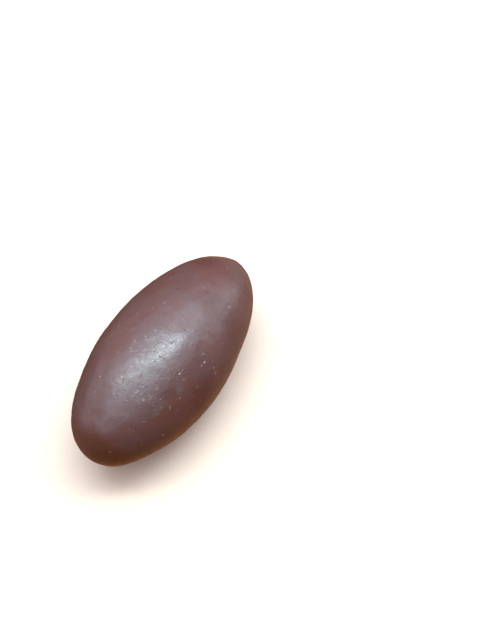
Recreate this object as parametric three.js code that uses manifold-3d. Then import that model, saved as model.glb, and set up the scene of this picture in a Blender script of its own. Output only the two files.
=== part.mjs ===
// A palm-size shiva lingam stone: one river stone, ground by hand to a long egg.
// Millimetres, +Z up. The long axis lies along X, the fuller end towards -X, and the stone
// rests on a small flat spot at Z = 0, with the origin below the middle of its box.

import * as THREE from 'three';
import { mergeVertices } from 'three/addons/utils/BufferGeometryUtils.js';
import Module from 'manifold-3d';

// Driving dimensions
const length = 62; // tip to tip, along X
const width = 30.5; // across the belly, along Y
const height = 29.5; // from the flat spot to the crown, along Z
const spotDepth = 0.35; // how deep the flat spot is worn into the round underside
const egg = 0.048; // share by which the -X end is fuller, and the +X end slimmer
const keenness = 0.14; // how far both ends draw in from a plain ellipse, which is 0
const detail = 14; // the net has 20 * (detail + 1)^2 facets

// Places that the grinding left a little flat. Each lies at a share of the half length along X
// and an angle around X, in degrees from +Y towards +Z. It fades out over its reach.
const wornFlats = [
  { along: -0.99, around: 300, reach: 5.5, depth: 0.95 }, // blunt full end
  { along: 0.93, around: 100, reach: 5.5, depth: 0.9 }, // blunt slim end
  { along: -0.68, around: 205, reach: 6, depth: 0.45 },
  { along: 0.33, around: 191, reach: 7, depth: 0.4 },
  { along: -0.5, around: 17, reach: 6, depth: 0.25 },
  { along: -0.35, around: 105, reach: 10, depth: 0.25 },
  { along: 0.45, around: 120, reach: 9, depth: 0.2 },
  { along: -0.1, around: 60, reach: 9, depth: 0.15 },
  { along: -0.3, around: 240, reach: 10, depth: 0.25 },
  { along: 0.45, around: 300, reach: 10, depth: 0.25 },
];

const wasm = await Module();
wasm.setup();

const halfSize = new THREE.Vector3(length, width, height + spotDepth).divideScalar(2);

/** The point of the plain egg in the direction of a point on the unit sphere. */
function eggPoint(direction) {
  const ring = Math.hypot(direction.y, direction.z);
  const girth = ring ** keenness * (1 - egg * direction.x);
  return new THREE.Vector3(direction.x, direction.y * girth, direction.z * girth).multiply(halfSize);
}

/** The point of the plain egg in the middle of a worn flat. */
function flatCentre({ along, around }) {
  const angle = THREE.MathUtils.degToRad(around);
  const ring = Math.sqrt(1 - along ** 2);
  return eggPoint(new THREE.Vector3(along, ring * Math.cos(angle), ring * Math.sin(angle)));
}

/** How deep all the worn flats together lie at a point of the egg. */
function wornDepth(point) {
  return wornFlats.reduce((total, flat) => {
    const distance = point.distanceTo(flatCentre(flat)) / flat.reach;
    return total + flat.depth * Math.exp(-(distance ** 2));
  }, 0);
}

/** The whole round stone, centred on the origin, before its flat spot is cut. */
function roundStone() {
  const net = new THREE.IcosahedronGeometry(1, detail);
  net.deleteAttribute('normal');
  net.deleteAttribute('uv');
  const stone = mergeVertices(net);
  const position = stone.getAttribute('position');
  const direction = new THREE.Vector3();
  for (let i = 0; i < position.count; i++) {
    direction.fromBufferAttribute(position, i);
    const point = eggPoint(direction);
    const inward = point.clone().divide(halfSize).divide(halfSize).normalize().negate();
    point.addScaledVector(inward, wornDepth(point));
    position.setXYZ(i, point.x, point.y, point.z);
  }
  stone.center();
  const size = stone.boundingBox.getSize(new THREE.Vector3());
  const toSize = halfSize.clone().multiplyScalar(2).divide(size);
  stone.scale(toSize.x, toSize.y, toSize.z);
  return stone;
}

function toManifold(geometry) {
  return new wasm.Manifold(new wasm.Mesh({
    numProp: 3,
    vertProperties: new Float32Array(geometry.getAttribute('position').array),
    triVerts: new Uint32Array(geometry.getIndex().array),
  }));
}

function toGeometry(manifold) {
  const { vertProperties, triVerts } = manifold.getMesh();
  const geometry = new THREE.BufferGeometry();
  geometry.setAttribute('position', new THREE.BufferAttribute(vertProperties, 3));
  geometry.setIndex(new THREE.BufferAttribute(triVerts, 1));
  geometry.computeVertexNormals();
  return geometry;
}

/** A block that takes away all of the stone below the given height. */
function blockBelow(level) {
  const block = new THREE.BoxGeometry(2 * length, 2 * width, height);
  block.deleteAttribute('normal');
  block.deleteAttribute('uv');
  return mergeVertices(block).translate(0, 0, level - height / 2);
}

const spotLevel = spotDepth - halfSize.z;
const geometry = toGeometry(toManifold(roundStone()).subtract(toManifold(blockBelow(spotLevel))));

const stone = new THREE.Mesh(
  geometry,
  new THREE.MeshStandardMaterial({ color: 0x6e5154, roughness: 0.42, metalness: 0 }),
);
stone.name = 'stone';
stone.position.z = -spotLevel;

const lingam = new THREE.Group();
lingam.add(stone);

export default lingam;
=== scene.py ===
import math
import random

import bmesh
import bpy
from mathutils import Matrix, Vector, noise
from mathutils.bvhtree import BVHTree
from mathutils.kdtree import KDTree


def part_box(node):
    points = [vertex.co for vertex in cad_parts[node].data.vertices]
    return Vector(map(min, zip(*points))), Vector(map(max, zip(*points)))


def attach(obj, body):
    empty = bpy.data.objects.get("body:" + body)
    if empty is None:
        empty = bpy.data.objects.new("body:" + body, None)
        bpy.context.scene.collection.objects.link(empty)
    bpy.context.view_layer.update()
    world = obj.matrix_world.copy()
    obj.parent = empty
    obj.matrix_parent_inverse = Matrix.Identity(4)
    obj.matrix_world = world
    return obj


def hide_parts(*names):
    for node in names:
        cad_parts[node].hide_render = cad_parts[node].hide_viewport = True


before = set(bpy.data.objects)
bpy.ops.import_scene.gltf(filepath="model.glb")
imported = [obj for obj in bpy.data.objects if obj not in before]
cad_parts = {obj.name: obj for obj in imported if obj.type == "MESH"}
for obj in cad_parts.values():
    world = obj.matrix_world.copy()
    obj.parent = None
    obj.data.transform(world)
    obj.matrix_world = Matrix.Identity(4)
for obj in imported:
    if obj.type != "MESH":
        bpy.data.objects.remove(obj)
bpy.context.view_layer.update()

mm = 0.001
stoneLow, stoneHigh = (Vector(corner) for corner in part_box("stone"))
stoneMiddle = (stoneLow + stoneHigh) / 2
halfSize = (stoneHigh - stoneLow) / 2


# ---- camera: looks down on the near, fuller end, with the long axis running up to the right
cameraView = {
    "azimuth": -48.9,  # degrees, 0 looks along +Y
    "elevation": 60,  # degrees above the floor
    "distance": 0.2102,  # from the middle of the stone
    "lens": 50,
    "sensor": 36,  # across the longer side of the picture
    "aimBeside": (17.0 * mm, -9.5 * mm),  # where it points, along X and Y from the middle of the stone
    "nearest": 0.01,  # nothing closer to the camera is drawn
    "frameSize": (480, 640),  # picture points across and down
}


def makeCamera(view):
    turn, lift = math.radians(view["azimuth"]), math.radians(view["elevation"])
    away = Vector((-math.sin(turn) * math.cos(lift), math.cos(turn) * math.cos(lift), -math.sin(lift)))
    aim = stoneMiddle + Vector((*view["aimBeside"], 0))
    data = bpy.data.cameras.new("camera")
    data.lens = view["lens"]
    data.sensor_width = view["sensor"]
    data.sensor_fit = "AUTO"
    data.clip_start = view["nearest"]
    camera = bpy.data.objects.new("camera", data)
    camera.location = stoneMiddle - away * view["distance"]
    camera.rotation_euler = (aim - camera.location).to_track_quat("-Z", "Y").to_euler()
    bpy.context.scene.collection.objects.link(camera)
    bpy.context.scene.camera = camera
    bpy.context.view_layer.update()
    return camera


camera = makeCamera(cameraView)
print("camera placed")


def seenPlace(surface, across, down):
    # where the line of sight through a picture point meets the stone, and which way it faces there
    width, height = cameraView["frameSize"]
    scale = cameraView["sensor"] / max(width, height)
    ray = Vector(((across - width / 2) * scale, (height / 2 - down) * scale, -cameraView["lens"]))
    ray.rotate(camera.matrix_world.to_quaternion())
    return surface.ray_cast(camera.location, ray.normalized())[:2]


# ---- stone: its form
stoneForm = {
    "seed": 7,
    "rows": 70,  # faces across one side of the starting block
    "tipShare": 0.8,  # share of the half length where the sides hand over to the tips
    "smoothPasses": 50,  # they take the facets away
    "smoothShare": 0.5,  # of the way to the middle of its neighbours, for each point in each pass
    "swells": (  # wavelength and height
        (12 * mm, 0.05 * mm),
        (5 * mm, 0.06 * mm),
        (2.4 * mm, 0.055 * mm),
        (1.3 * mm, 0.012 * mm),
    ),
    "swellPhase": (7, 3, 5),  # which part of the noise makes them
    "rises": (  # picture point across and down, reach and height
        (74, 424, 2.8 * mm, 0.15 * mm),
        (83, 428, 2.8 * mm, 0.22 * mm),
        (93, 431, 3.0 * mm, 0.23 * mm),
        (103, 434, 3.2 * mm, 0.20 * mm),
        (113, 438, 3.2 * mm, 0.12 * mm),
        (152, 377, 4.0 * mm, 0.08 * mm),
        (202, 307, 4.0 * mm, 0.08 * mm),
    ),
    "seenFlats": (  # picture point across and down, depth and softness of the edge
        (188, 318, 0.20 * mm, 0.006 * mm),
    ),
    "rubbedFlats": 150,  # small flats that rubbing by hand left all over
    "rubbedDepth": (0.004 * mm, 0.022 * mm),
    "rubbedEdge": 0.012 * mm,  # how softly a flat ends
    "restDepth": 0.03 * mm,  # rubbed off the spot that it rests on
    "restEdge": 0.004 * mm,
    "sideShare": 0.7,  # width of the four sides in the flat layout, of 1
    "endShare": 0.25,  # width of an end there
    "endGap": 0.02,  # between the sides and the ends, and between the two ends
}
onSide = 1 - 1e-6  # a point of the starting block that is further out lies on one of its sides


def makeBlock(form):
    # a block with square faces, twice as many along X, and its flat layout
    bm = bmesh.new()
    bmesh.ops.create_cube(bm, size=2)
    everything = bm.verts[:] + bm.edges[:] + bm.faces[:]
    bmesh.ops.bisect_plane(bm, geom=everything, plane_co=(0, 0, 0), plane_no=(1, 0, 0))
    bmesh.ops.subdivide_edges(bm, edges=bm.edges[:], cuts=form["rows"] - 1, use_grid_fill=True)
    layout = bm.loops.layers.uv.new("OFBake")
    for face in bm.faces:
        middle = face.calc_center_median()
        for loop in face.loops:
            loop[layout].uv = placeInLayout(loop.vert.co, middle, form)
    return bm


def placeInLayout(point, faceMiddle, form):
    # four sides above each other, with the two ends beside them
    if abs(faceMiddle.x) > onSide:
        row = 0 if faceMiddle.x > 0 else 1
        across = form["sideShare"] + form["endGap"] + form["endShare"] * (point.y + 1) / 2
        return across, (form["endShare"] + form["endGap"]) * row + form["endShare"] * (point.z + 1) / 2
    if abs(faceMiddle.y) > abs(faceMiddle.z):
        side, along = (0, point.z) if faceMiddle.y > 0 else (2, -point.z)
    else:
        side, along = (1, -point.y) if faceMiddle.z > 0 else (3, point.y)
    return form["sideShare"] * (point.x + 1) / 2, (side + (along + 1) / 2) / 4


def directionOf(point, tipShare):
    # where a point of the block goes on a ball, with rows an equal angle apart
    reach = max(abs(point.y), abs(point.z))
    if reach == 0:
        return Vector((math.copysign(1, point.x), 0, 0))
    around = Vector((0, math.tan(point.y / reach * math.pi / 4), math.tan(point.z / reach * math.pi / 4)))
    around.normalize()
    if reach < onSide:
        ring = reach * math.sqrt(1 - tipShare ** 2)
        along = math.copysign(math.sqrt(1 - ring ** 2), point.x)
    else:
        along = tipShare * point.x
        ring = math.sqrt(1 - along ** 2)
    return Vector((along, around.y * ring, around.z * ring))


def wrapOnFrame(bm, form):
    frameSurface = BVHTree.FromObject(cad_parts["stone"], bpy.context.evaluated_depsgraph_get())
    for vert in bm.verts:
        direction = directionOf(vert.co, form["tipShare"]) * halfSize
        vert.co = frameSurface.ray_cast(stoneMiddle, direction.normalized())[0]


def fitToBox(bm):
    low = Vector(map(min, zip(*(v.co for v in bm.verts))))
    high = Vector(map(max, zip(*(v.co for v in bm.verts))))
    for vert in bm.verts:
        for i in range(3):
            share = (vert.co[i] - low[i]) / (high[i] - low[i])
            vert.co[i] = stoneLow[i] + share * (stoneHigh[i] - stoneLow[i])


def treeOf(points):
    tree = KDTree(len(points))
    for index, point in enumerate(points):
        tree.insert(point, index)
    tree.balance()
    return tree


def randomDirection(draw):
    direction = Vector([draw.gauss(0, 1) for _ in range(3)])
    return direction.normalized() * halfSize


def swell(bm, form):
    surface = BVHTree.FromBMesh(bm)
    rises = [(seenPlace(surface, *rise[:2])[0], *rise[2:]) for rise in form["rises"]]
    phase = Vector(form["swellPhase"])
    for vert in bm.verts:
        height = sum(size * noise.noise(vert.co / wave + phase) for wave, size in form["swells"])
        for place, reach, size in rises:
            height += size * math.exp(-((vert.co - place).length / reach) ** 2)
        vert.co += vert.normal * height


def rubFlat(bm, tree, place, outward, depth, edge):
    # a plane takes off what stands above it, and ends softly
    longRadius = halfSize.x ** 2 / halfSize.z
    fadeDepth = 6 * edge  # further below its plane a flat takes nothing off
    reach = math.sqrt(2 * longRadius * (depth + fadeDepth))
    for _, index, _ in tree.find_range(place, reach):
        vert = bm.verts[index]
        rise = (vert.co - place).dot(outward) + depth
        if rise > -fadeDepth:
            vert.co -= outward * (rise + edge * math.log1p(math.exp(-rise / edge)))


def rubFlats(bm, form):
    draw = random.Random(form["seed"])
    bm.verts.ensure_lookup_table()
    tree = treeOf([vert.co for vert in bm.verts])
    surface = BVHTree.FromBMesh(bm)
    for across, down, depth, edge in form["seenFlats"]:
        rubFlat(bm, tree, *seenPlace(surface, across, down), depth, edge)
    for _ in range(form["rubbedFlats"]):
        place, outward, _, _ = surface.ray_cast(stoneMiddle, randomDirection(draw))
        rubFlat(bm, tree, place, outward, draw.uniform(*form["rubbedDepth"]), form["rubbedEdge"])
    below = Vector((0, 0, stoneLow.z))
    rubFlat(bm, tree, below, Vector((0, 0, -1)), form["restDepth"], form["restEdge"])


# ---- stone: pits, bruises, scratches and spots, with painted glints and painted shade among them
# Places are picture points, across and down. Widths and depths are in mm. Paleness runs from -1,
# dark, to 1, pale. A spot's strength is the share of its finish in its middle.
stoneMarks = {
    "seed": 19,
    "pits": (  # across, down, width, depth, paleness
        (177.5, 288.1, 1.10, 0.080, -0.45),
        (163.9, 297.7, 0.50, 0.050, -0.40),
        (164.3, 302.8, 0.45, 0.030, 0.30),
        (152.5, 310.5, 0.50, 0.050, -0.40),
        (152.8, 308.0, 0.40, 0.015, 0.35),
        (204.2, 288.1, 0.45, 0.015, 0.35),
        (206.8, 291.0, 1.00, 0.040, -0.40),
        (185.2, 329.5, 0.55, 0.070, -0.50),
        (187.8, 329.9, 0.40, 0.015, 0.30),
        (229.5, 307.2, 0.45, 0.030, 0.55),
        (221.8, 340.9, 0.50, 0.060, -0.50),
        (222.2, 343.1, 0.40, 0.015, 0.30),
        (210.0, 334.3, 0.35, 0.040, -0.40),
        (203.2, 353.6, 0.50, 0.020, 0.50),
        (204.5, 362.2, 0.45, 0.080, 1.00),
        (201.6, 365.6, 0.50, 0.050, 0.30),
        (213.9, 367.8, 0.50, 0.030, 0.35),
        (218.0, 368.2, 0.35, 0.030, 0.30),
        (179.5, 373.4, 0.45, 0.080, 1.00),
        (177.2, 373.4, 0.50, 0.070, -0.60),
        (180.2, 378.7, 0.60, 0.050, -0.50),
        (183.7, 379.4, 0.40, 0.015, 0.30),
        (185.6, 371.0, 0.50, 0.050, -0.40),
        # the shallow pale pits from here to 157.6, 360.8 are painted glints along the brightest streak of
        # the gloss; the dark ones among them are pits
        (153.6, 349.7, 0.42, 0.010, 0.70),
        (163.1, 346.2, 0.50, 0.010, 0.60),
        (171.4, 345.7, 0.45, 0.010, 0.60),
        (171.7, 342.8, 0.50, 0.070, -0.60),
        (178.3, 340.5, 0.45, 0.010, 0.60),
        (181.5, 339.4, 0.40, 0.010, 0.60),
        (170.9, 340.5, 0.40, 0.010, 0.50),
        (155.0, 361.7, 0.45, 0.070, -0.60),
        (152.5, 360.6, 0.40, 0.010, 0.55),
        (159.7, 356.9, 0.45, 0.060, -0.50),
        (122.0, 376.7, 0.50, 0.050, 0.70),
        (122.3, 380.1, 0.40, 0.040, 0.40),
        (145.6, 336.5, 0.40, 0.050, 0.50),
        (146.3, 337.9, 0.40, 0.070, -0.40),
        (146.7, 339.4, 0.40, 0.040, 0.50),
        (154.4, 351.4, 0.40, 0.050, -0.45),
        (157.6, 360.8, 0.40, 0.010, 0.40),
        (142.6, 385.3, 0.45, 0.040, -0.40),
        (143.2, 386.6, 0.40, 0.015, 0.35),
        (143.9, 387.9, 0.35, 0.030, -0.30),
        (137.7, 391.0, 0.40, 0.015, 0.25),
        (140.9, 394.0, 0.40, 0.015, 0.25),
        (143.6, 397.1, 0.50, 0.030, -0.30),
        (148.4, 395.6, 0.45, 0.015, 0.35),
        (149.5, 399.2, 0.35, 0.015, 0.25),
        (161.4, 396.5, 0.40, 0.040, -0.40),
        (165.7, 399.2, 0.40, 0.040, -0.35),
        (138.6, 389.4, 0.50, 0.070, -0.50),
        (124.4, 391.0, 0.60, 0.040, -0.35),
        (116.8, 396.3, 0.70, 0.040, -0.30),
        (95.0, 391.7, 0.40, 0.030, 0.30),
        (100.3, 376.4, 0.50, 0.050, 0.50),
        (135.9, 392.5, 0.50, 0.040, 0.30),
        (132.9, 395.5, 0.40, 0.030, 0.30),
        (143.6, 399.7, 0.60, 0.030, 0.35),
        (136.7, 407.0, 0.40, 0.040, -0.40),
        (138.2, 402.4, 0.40, 0.020, 0.25),
        (147.4, 396.3, 0.50, 0.050, -0.40),
        (151.2, 397.0, 0.40, 0.030, 0.30),
        (163.5, 397.0, 0.45, 0.020, 0.15),
        (160.5, 399.0, 0.40, 0.030, 0.30),
        (165.4, 393.4, 0.50, 0.050, -0.40),
        (180.2, 398.0, 0.40, 0.030, 0.35),
        (177.0, 410.6, 0.50, 0.020, 0.20),
        (174.6, 405.4, 0.50, 0.030, -0.30),
        (163.0, 435.0, 0.50, 0.030, 0.60),
        (142.0, 446.8, 0.50, 0.060, -0.60),
        (142.0, 444.1, 0.40, 0.030, 0.40),
        (133.6, 431.0, 0.40, 0.020, 0.20),
        (118.3, 352.1, 0.40, 0.030, 0.35),
        (130.8, 348.4, 0.40, 0.030, 0.30),
        (130.8, 351.7, 0.40, 0.030, 0.30),
        (119.0, 326.4, 0.40, 0.030, 0.30),
        (132.3, 330.0, 0.40, 0.030, 0.30),
        (155.5, 330.6, 0.50, 0.030, 0.35),
        (197.0, 387.0, 0.80, 0.020, 0.15),
    ),
    "scratches": (  # across and down where it starts and ends, width, depth, paleness
        (157.9, 385.9, 155.8, 391.2, 0.32, 0.030, 0.30),
        # a painted glint: a short pale line in the brightest streak
        (164.2, 343.4, 168.0, 342.9, 0.32, 0.008, 0.50),
        (164.5, 347.5, 167.5, 347.4, 0.28, 0.030, -0.35),
        (160.6, 351.0, 155.6, 360.0, 0.50, 0.005, 0.15),
        (216.2, 370.8, 215.2, 374.8, 0.35, 0.040, 0.60),
        (140.0, 421.3, 148.0, 422.0, 0.25, 0.020, 0.30),
        (133.0, 418.2, 145.0, 418.7, 0.25, 0.030, -0.40),
        (170.0, 404.8, 170.0, 410.2, 0.30, 0.030, 0.35),
        (147.3, 356.5, 147.4, 361.0, 0.30, 0.030, 0.40),
        (141.9, 360.0, 141.9, 363.5, 0.30, 0.030, 0.40),
        (129.0, 378.6, 134.0, 378.6, 0.30, 0.030, -0.35),
        (129.0, 381.8, 133.0, 381.8, 0.30, 0.030, -0.35),
        (137.2, 313.2, 137.6, 316.2, 0.30, 0.020, 0.30),
    ),
    "spots": {  # for each kind: across, down, width, strength
        "greyMauve": (
            (134, 404, 9.0, 1.0),
            (152, 398, 7.0, 1.0),
            (206, 338, 10.0, 1.0),
            (130, 310, 10.0, 1.0),
            (180, 387, 5.0, 0.6),
            (213, 349, 8.0, 0.8),
            (150, 375, 8.0, 0.9),
        ),
        "paleMauve": (
            (245, 308, 9.0, 1.0),
            (215, 347, 9.0, 0.9),
            (121, 374, 5.0, 0.9),
            (113, 334, 6.0, 0.7),
            (130, 319, 7.0, 0.7),
            (152, 303, 6.0, 0.6),
            (193, 318, 5.0, 0.5),
        ),
        # a deeper plum tone; the spot at 206, 262 is painted shade along the upper rim
        "deepPlumAndRimShade": (
            (220, 309, 8.0, 1.0),
            (206, 262, 7.0, 0.9),
            (143, 347, 6.0, 0.7),
            (163, 331, 5.0, 0.8),
            (164, 387, 5.0, 0.9),
            (166, 366, 5.0, 0.5),
            (204, 397, 9.0, 0.9),
        ),
        "greenGrey": (
            (238, 273, 9.0, 0.5),
            (180.2, 390.6, 2.0, 0.8),
            (155.3, 413.4, 2.5, 0.6),
            (100, 385, 6.0, 0.3),
            (165, 290, 6.0, 0.4),
        ),
        "redBrown": (
            (204, 268, 7.0, 0.5),
            (213, 286, 8.0, 0.7),
            (178, 304, 6.0, 0.6),
            (118, 345, 7.0, 0.3),
            (200, 398, 9.0, 0.9),
        ),
        # painted shade: darker and browner along the lower rim of the fuller end, where the stone rests
        "brownShade": (
            (75, 400, 3.5, 0.2),
            (74, 414, 4.0, 0.4),
            (74, 427, 4.5, 0.8),
            (77, 441, 5.0, 1.0),
            (90, 447, 6.0, 1.0),
            (103, 451, 5.0, 1.0),
            (118, 458, 5.0, 0.9),
            (143, 449, 6.0, 0.5),
            (167, 434, 6.0, 0.35),
        ),
        "worn": (  # where small breaks show
            (163, 347, 6.0, 0.25),
            (176, 336, 5.0, 0.25),
            (146, 388, 7.0, 1.0),
            (134, 402, 5.0, 0.7),
            (160, 402, 5.0, 0.7),
            (178, 375, 4.0, 1.0),
            (203, 360, 5.0, 0.8),
            (214, 370, 4.0, 0.8),
            (121, 380, 4.0, 0.6),
        ),
        "glossy": (  # where it is polished best
            (166, 350, 3.5, 1.0),
            (158, 358, 3.5, 0.7),
            (173, 343, 3.0, 0.7),
            (180, 337, 2.5, 0.4),
        ),
    },
    "strayPits": 160,  # more pits, all over
    "strayWidth": (0.35, 0.85),
    "strayDepth": (0.015, 0.07),
    "strayPale": (-0.7, 0.7),
    "seenTurn": 0.2,  # a stray pit counts as seen if it faces the camera by more than this cosine
    "faintShare": 0.4,  # what a seen one keeps of its depth and paleness
    "straySpots": 6,  # more spots of each kind, out of the camera's sight
    "straySpotWidth": (3, 11),
    "straySpotStrength": (0.4, 1),
    "cuts": 3,  # splits of a face's sides near a mark
    "splitReach": 1.2,  # how far from a mark faces are split, of its radius,
    "splitMargin": 0.2,  # and how much further
    "scratchStep": 0.12,  # between the dents that make a scratch
    "unevenness": 0.6,  # of a pit's outline
    "outlineSize": 0.25,  # of the bends in that outline
    "rim": (1.6, 0.25),  # how far a pit's rim reaches, of its radius, and how high, of its depth
    "paleReach": 1.2,  # how far its paleness reaches, of its radius
}


def mark(place, outward, width, depth, pale):
    return {"place": place, "outward": outward, "radius": width / 2 * mm, "depth": depth * mm, "pale": pale}


def listMarks(surface, values):
    marks = [mark(*seenPlace(surface, *pit[:2]), *pit[2:]) for pit in values["pits"]]
    for *points, width, depth, pale in values["scratches"]:
        ends = [seenPlace(surface, *points[i:i + 2])[0] for i in (0, 2)]
        steps = max(1, round((ends[1] - ends[0]).length / (values["scratchStep"] * mm)))
        for step in range(steps + 1):
            between = ends[0].lerp(ends[1], step / steps)
            place, outward, _, _ = surface.find_nearest(between)
            taper = math.sin(math.pi * (step + 1) / (steps + 2))
            marks.append(mark(place, outward, width * taper, depth * taper, pale))
    return marks + listStrays(surface, values)


def listStrays(surface, values):
    # more pits all over, fainter on the side that has its own
    draw = random.Random(values["seed"])
    strays = []
    for _ in range(values["strayPits"]):
        place, outward, _, _ = surface.ray_cast(stoneMiddle, randomDirection(draw))
        width, depth = draw.uniform(*values["strayWidth"]), draw.uniform(*values["strayDepth"])
        pale = draw.uniform(*values["strayPale"])
        if outward.dot((camera.location - place).normalized()) > values["seenTurn"]:
            depth, pale = depth * values["faintShare"], pale * values["faintShare"]
        strays.append(mark(place, outward, width, depth, pale))
    return strays


def refineNear(bm, marks, values):
    tree = treeOf([item["place"] for item in marks])
    near = []
    for face in bm.faces:
        _, index, distance = tree.find(face.calc_center_median())
        if distance < marks[index]["radius"] * values["splitReach"] + values["splitMargin"] * mm:
            near.append(face)
    edges = list(dict.fromkeys(edge for face in near for edge in face.edges))
    bmesh.ops.subdivide_edges(bm, edges=edges, cuts=values["cuts"], use_grid_fill=True)


def pressMarks(bm, marks, values):
    # each pit is a bowl with an uneven outline and a low rim; where two meet, the deeper one counts
    bm.verts.ensure_lookup_table()
    tree = treeOf([vert.co for vert in bm.verts])
    pale = bm.verts.layers.float.new("pale")
    rimReach, rimHeight = values["rim"]
    sunk = {}
    for item in marks:
        widest = item["radius"] * (1 + values["unevenness"]) * rimReach
        for place, index, distance in tree.find_range(item["place"], widest):
            uneven = 1 + values["unevenness"] * noise.noise(place / (values["outlineSize"] * mm))
            ratio = distance / (item["radius"] * uneven)
            if ratio < 1:
                depth = item["depth"] * (1 - ratio ** 2) ** 2
            elif ratio < rimReach:
                depth = -item["depth"] * rimHeight * math.sin(math.pi * (ratio - 1) / (rimReach - 1))
            else:
                continue
            if index not in sunk or depth > sunk[index][0]:
                sunk[index] = depth, item["outward"]
            share = 1 - (ratio / values["paleReach"]) ** 2
            vert = bm.verts[index]
            if abs(item["pale"]) * share > abs(vert[pale]):
                vert[pale] = item["pale"] * share
    for index, (depth, outward) in sunk.items():
        bm.verts[index].co -= outward * depth


def spreadSpots(bm, surface, values):
    # each kind of spot gives the surface a value that fades out around its places
    draw = random.Random(values["seed"])
    for kind, seen in values["spots"].items():
        spots = [(seenPlace(surface, *spot[:2])[0], *spot[2:]) for spot in seen]
        while len(spots) < len(seen) + values["straySpots"]:
            place, outward, _, _ = surface.ray_cast(stoneMiddle, randomDirection(draw))
            width = draw.uniform(*values["straySpotWidth"])
            strength = draw.uniform(*values["straySpotStrength"])
            if outward.dot((camera.location - place).normalized()) < 0:
                spots.append((place, width, strength))
        layer = bm.verts.layers.float.new(kind)
        for vert in bm.verts:
            vert[layer] = sum(strength * math.exp(-((vert.co - place).length / (width / 2 * mm)) ** 2)
                              for place, width, strength in spots)


def makeStone(form, markValues):
    bm = makeBlock(form)
    wrapOnFrame(bm, form)
    for _ in range(form["smoothPasses"]):
        bmesh.ops.smooth_vert(bm, verts=bm.verts[:], factor=form["smoothShare"],
                              use_axis_x=True, use_axis_y=True, use_axis_z=True)
    fitToBox(bm)
    bm.normal_update()
    swell(bm, form)
    rubFlats(bm, form)
    fitToBox(bm)
    bm.normal_update()
    surface = BVHTree.FromBMesh(bm)
    marks = listMarks(surface, markValues)
    refineNear(bm, marks, markValues)
    pressMarks(bm, marks, markValues)
    spreadSpots(bm, surface, markValues)
    for face in bm.faces:
        face.smooth = True
    mesh = bpy.data.meshes.new("lingamStone")
    bm.to_mesh(mesh)
    bm.free()
    stone = bpy.data.objects.new("lingamStone", mesh)
    bpy.context.scene.collection.objects.link(stone)
    return stone


stone = makeStone(stoneForm, stoneMarks)
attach(stone, "root")
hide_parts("stone")
print("stone shaped:", len(stone.data.polygons), "faces")


# ---- stone: its finish
stoneFinish = {
    "plum": (0.107, 0.044, 0.042, 1),
    "greyMauve": (0.104, 0.056, 0.056, 1),
    "redBrown": (0.115, 0.044, 0.036, 1),
    "paleMauve": (0.126, 0.060, 0.057, 1),
    # a deeper plum, also used as painted shade along the upper rim
    "deepPlumAndRimShade": (0.084, 0.033, 0.030, 1),
    "greenGrey": (0.102, 0.080, 0.066, 1),
    # painted shade for the lower rim of the fuller end
    "brownShade": (0.098, 0.036, 0.020, 1),
    # pale bruises, and the colour of the painted glints
    "paleBruiseAndGlint": (0.42, 0.36, 0.35, 1),
    "darkPit": (0.045, 0.022, 0.020, 1),
    # patterns: size and detail of a noise, and at which of its values they begin and are full
    "mottle": (2.2 * mm, 3, 0.35, 0.65),  # grey mauve in the plum
    "patches": (9 * mm, 2, 0.45, 0.7),  # redBrown in both
    "fringe": (0.9 * mm, 2, 0.3, 0.7),  # makes the outline of a spot uneven
    "glint": (0.3 * mm, 1, 0.52, 0.62),  # specks that shine in the glossy places
    "crumbs": (0.7 * mm, 3, 0.58, 0.66),  # small breaks in the worn places
    # relief: size and detail of a noise, and height
    "grain": (1.1 * mm, 2, 0.055 * mm),
    "smallGrain": (0.45 * mm, 2, 0.020 * mm),
    "fineGrain": (0.16 * mm, 1, 0.005 * mm),
    "streaks": (0.3 * mm, 2, 0.004 * mm),  # size across the stone
    "streakLength": 4 * mm,
    "crumbDepth": 0.05 * mm,
    "fringeShare": (0.4, 1.6),  # least and most of a spot that the fringe leaves
    "spotEdge": (0.15, 0.85),  # strength at which a spot begins and is full
    "grainTop": (0.65, 0.35),  # noise at the rubbed tops of the grain, and between them
    "roughness": (0.30, 0.42),  # at those two
    "glossyRoughness": 0.29,
    "glintRoughness": 0.14,
    "specular": 0.8,  # strength of the gloss
    "glossTint": (0.74, 0.92, 1.0, 1),
}


def addNode(tree, kind, values, **settings):
    node = tree.nodes.new(kind)
    for name, value in settings.items():
        setattr(node, name, value)
    for name, value in values.items():
        if isinstance(value, bpy.types.NodeSocket):
            tree.links.new(value, node.inputs[name])
        else:
            node.inputs[name].default_value = value
    return node


def mixColours(tree, share, first, second):
    # a mix node has its colours at inputs 6 and 7 and output 2, and its numbers at 2, 3 and 0
    return addNode(tree, "ShaderNodeMix", {0: share, 6: first, 7: second}, data_type="RGBA").outputs[2]


def mixNumbers(tree, share, first, second):
    return addNode(tree, "ShaderNodeMix", {0: share, 2: first, 3: second}).outputs[0]


def calculate(tree, kind, first, second):
    return addNode(tree, "ShaderNodeMath", {0: first, 1: second}, operation=kind).outputs[0]


def attributeOf(tree, name):
    return addNode(tree, "ShaderNodeAttribute", {}, attribute_name=name).outputs["Fac"]


def noiseOf(tree, place, size, detail, roughness=0.55):
    values = {"Vector": place, "Scale": 1 / size, "Detail": detail, "Roughness": roughness}
    return addNode(tree, "ShaderNodeTexNoise", values).outputs["Fac"]


def spread(tree, value, low, high, newLow=0, newHigh=1):
    values = {"Value": value, "From Min": low, "From Max": high, "To Min": newLow, "To Max": newHigh}
    return addNode(tree, "ShaderNodeMapRange", values).outputs["Result"]


def patternOf(tree, place, pattern, newLow=0, newHigh=1):
    size, detail, begins, full = pattern
    return spread(tree, noiseOf(tree, place, size, detail), begins, full, newLow, newHigh)


def bumpOf(tree, height, distance, before=None):
    values = {"Height": height, "Distance": distance, "Strength": 1}
    if before:
        values["Normal"] = before
    return addNode(tree, "ShaderNodeBump", values).outputs["Normal"]


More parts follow.
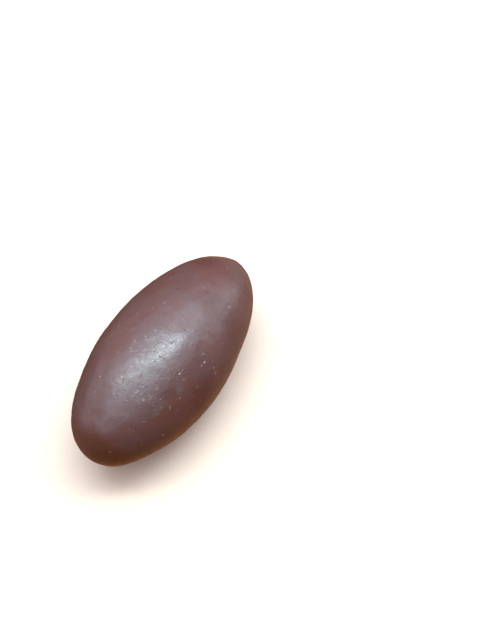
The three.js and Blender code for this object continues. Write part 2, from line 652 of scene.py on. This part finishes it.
def makeStoneMaterial(finish):
    material = bpy.data.materials.new("rubbedStone")
    material.use_nodes = True
    tree = material.node_tree
    shader = tree.nodes["Principled BSDF"]
    place = tree.nodes.new("ShaderNodeTexCoord").outputs["Object"]

    mottle = patternOf(tree, place, finish["mottle"])
    patches = patternOf(tree, place, finish["patches"])
    colour = mixColours(tree, mottle, finish["plum"], finish["greyMauve"])
    colour = mixColours(tree, patches, colour, finish["redBrown"])
    fringe = patternOf(tree, place, finish["fringe"], *finish["fringeShare"])
    # the darker, browner kind along the lower rim is painted shade, and the deep plum kind is partly
    # painted shade at the upper rim; the others are tones of the stone
    for kind in ("greyMauve", "redBrown", "paleMauve", "deepPlumAndRimShade", "greenGrey", "brownShade"):
        uneven = calculate(tree, "MULTIPLY", attributeOf(tree, kind), fringe)
        colour = mixColours(tree, spread(tree, uneven, *finish["spotEdge"]), colour, finish[kind])
    pale = attributeOf(tree, "pale")
    # pale bruises, and painted glints in the brightest streak
    colour = mixColours(tree, spread(tree, pale, 0, 1), colour, finish["paleBruiseAndGlint"])
    colour = mixColours(tree, spread(tree, pale, 0, -1), colour, finish["darkPit"])
    tree.links.new(colour, shader.inputs["Base Color"])

    size, detail, grainHeight = finish["grain"]
    grain = noiseOf(tree, place, size, detail)
    glossy = attributeOf(tree, "glossy")
    glint = calculate(tree, "MULTIPLY", patternOf(tree, place, finish["glint"]), glossy)
    roughness = spread(tree, grain, *finish["grainTop"], *finish["roughness"])
    roughness = mixNumbers(tree, glossy, roughness, finish["glossyRoughness"])
    roughness = mixNumbers(tree, glint, roughness, finish["glintRoughness"])
    tree.links.new(roughness, shader.inputs["Roughness"])
    shader.inputs["Specular IOR Level"].default_value = finish["specular"]
    shader.inputs["Specular Tint"].default_value = finish["glossTint"]

    stretch = (finish["streaks"][0] / finish["streakLength"], 1, 1)
    stretched = addNode(tree, "ShaderNodeMapping", {"Vector": place, "Scale": stretch}).outputs["Vector"]
    normal = bumpOf(tree, grain, grainHeight)
    for kind, where in (("smallGrain", place), ("streaks", stretched), ("fineGrain", place)):
        size, detail, height = finish[kind]
        normal = bumpOf(tree, noiseOf(tree, where, size, detail), height, normal)
    worn = attributeOf(tree, "worn")
    crumbs = calculate(tree, "MULTIPLY", patternOf(tree, place, finish["crumbs"]), worn)
    normal = bumpOf(tree, crumbs, -finish["crumbDepth"], normal)
    tree.links.new(normal, shader.inputs["Normal"])
    return material


stone.data.materials.append(makeStoneMaterial(stoneFinish))
print("stone finished")


# ---- floor and light
studio = {
    "floorRadius": 0.55,
    "floorSides": 96,
    "floorColour": (0.80, 0.70, 0.60, 1),
    "floorRoughness": 0.8,
    "air": (0.30, 0.22, 0.20, 1),
    "glows": (  # towards, how near that direction a glow begins and is full, colour
        ((0, 0, 1), 0, 0.6, (0.12, 0.10, 0.10, 1)),
        ((-0.643, -0.766, 0), 0, 0.8, (0.18, 0.05, 0.01, 1)),  # fuller end
        ((0, 0, -1), 0, 1, (0.60, 0.235, 0.085, 1)),  # in place of the floor
        ((0.643, 0.766, 0), 0.1, 0.8, (0.29, 0.19, 0.20, 1)),  # slimmer end
        ((0.55, 0.66, -0.51), 0.65, 0.95, (0.17, 0.07, 0.02, 1)),  # low, past the far side
        ((0.65, -0.08, -0.756), 0.7, 0.98, (0.60, 0.31, 0.17, 1)),  # low, to the right
    ),
    "backdrop": (0.80, 0.78, 0.75, 1),  # what a camera sees past the floor's edge
    "lamps": (  # offset from the stone's middle, size, degrees from +X to its first side, watts, colour
        ("overheadBox", (0.06, 0, 0.485), (0.9, 0.9), -53, 4.2, (0.94, 1.0, 1.11)),
        ("overheadStrip", (0.055, 0, 0.475), (0.6, 0.16), -53, 1.85, (0.90, 1.0, 0.98)),
        ("narrowStrip", (0.055, 0, 0.472), (0.45, 0.05), -53, 0.45, (0.94, 0.98, 0.94)),
        ("lowRightCard", (0.52, -0.30, 0.23), (0.35, 0.35), 0, 0.95, (1.12, 1.0, 1.0)),
        ("leftCard", (-0.14, 0.53, 0.31), (0.5, 0.5), 0, 0.64, (1.20, 1.0, 1.0)),
    ),
}


def makeFloor(values):
    bm = bmesh.new()
    bmesh.ops.create_circle(bm, cap_ends=True, segments=values["floorSides"], radius=values["floorRadius"])
    mesh = bpy.data.meshes.new("floor")
    bm.to_mesh(mesh)
    bm.free()
    floor = bpy.data.objects.new("floor", mesh)
    bpy.context.scene.collection.objects.link(floor)
    material = bpy.data.materials.new("paleFloor")
    material.use_nodes = True
    shader = material.node_tree.nodes["Principled BSDF"]
    shader.inputs["Base Color"].default_value = values["floorColour"]
    shader.inputs["Roughness"].default_value = values["floorRoughness"]
    mesh.materials.append(material)
    floor.visible_diffuse = False
    floor.visible_glossy = False


def makeAir(values):
    world = bpy.data.worlds.new("air")
    world.use_nodes = True
    tree = world.node_tree
    direction = tree.nodes.new("ShaderNodeTexCoord").outputs["Generated"]
    colour = values["air"]
    for towards, begins, full, glow in values["glows"]:
        pair = {0: direction, 1: towards}
        nearness = addNode(tree, "ShaderNodeVectorMath", pair, operation="DOT_PRODUCT").outputs["Value"]
        colour = mixColours(tree, spread(tree, nearness, begins, full), colour, glow)
    seen = tree.nodes.new("ShaderNodeLightPath").outputs["Is Camera Ray"]
    colour = mixColours(tree, seen, colour, values["backdrop"])
    tree.links.new(colour, tree.nodes["Background"].inputs["Color"])
    bpy.context.scene.world = world


def makeLamp(name, offset, size, along, watts, colour):
    # faces the stone's middle
    backward = Vector(offset).normalized()
    turn = math.radians(along)
    rightward = Vector((math.cos(turn), math.sin(turn), 0))
    rightward = (rightward - backward * backward.dot(rightward)).normalized()
    data = bpy.data.lights.new(name, "AREA")
    data.shape = "RECTANGLE"
    data.size, data.size_y = size
    data.energy = watts
    data.color = colour
    lamp = bpy.data.objects.new(name, data)
    place = Matrix((rightward, backward.cross(rightward), backward)).transposed().to_4x4()
    place.translation = stoneMiddle + Vector(offset)
    lamp.matrix_world = place
    bpy.context.scene.collection.objects.link(lamp)


makeFloor(studio)
makeAir(studio)
for lampValues in studio["lamps"]:
    makeLamp(*lampValues)

scene = bpy.context.scene
scene.view_settings.view_transform = "Standard"
scene.view_settings.look = "None"
print("studio lit")
